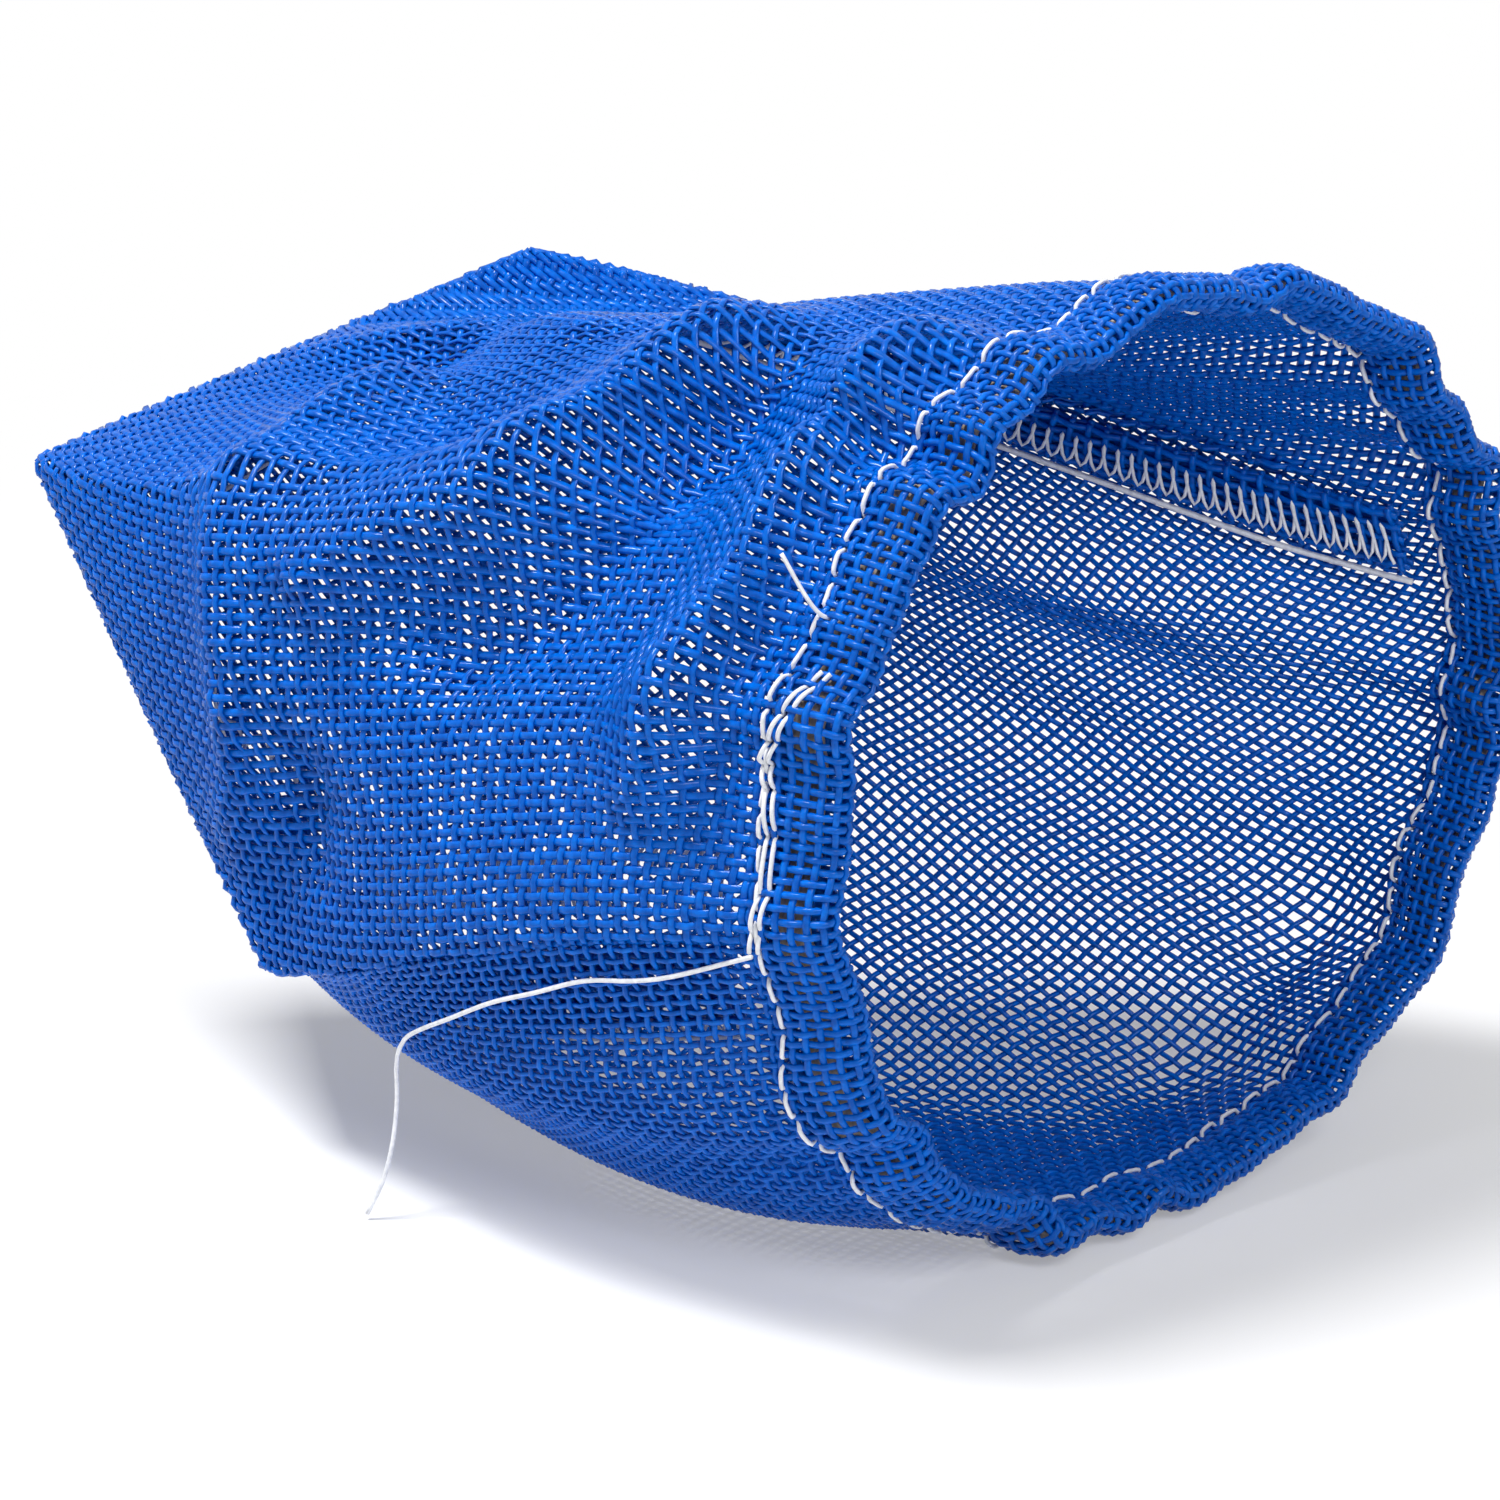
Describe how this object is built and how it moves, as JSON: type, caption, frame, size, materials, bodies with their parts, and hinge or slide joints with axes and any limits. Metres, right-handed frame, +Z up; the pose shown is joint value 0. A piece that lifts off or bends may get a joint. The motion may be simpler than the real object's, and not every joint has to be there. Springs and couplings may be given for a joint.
{
  "type": "leaf skimmer net pouch",
  "caption": "Soft blue woven-mesh pouch for skimming leaves, with a gathered elastic mouth and a two-corner closed end.",
  "frame": {"origin": "centre of the bounding box's underside, on the surface the pouch rests on", "axes": "+X out of the mouth along its axis, +Z up, +Y to the left seen from behind the pouch"},
  "size_m": [0.1274, 0.1183, 0.1057],
  "materials": {
    "mesh": "satin",
    "elastic": "matte",
    "thread": "satin"
  },
  "bodies": {
    "root": {"near_panel": "mesh", "far_panel": "mesh", "hem_casing": "mesh", "elastic_band": "elastic", "elastic_lap_stitch": "thread", "hem_needle_thread": "thread", "hem_bobbin_thread": "thread", "hem_backtack": "thread", "near_seam_margin": "mesh", "far_seam_margin": "mesh", "end_seam_margin": "mesh", "near_seam_overlock": "thread", "far_seam_overlock": "thread", "end_seam_overlock": "thread", "thread_tail": "thread", "thread_stub": "thread"}
  },
  "joints": []
}
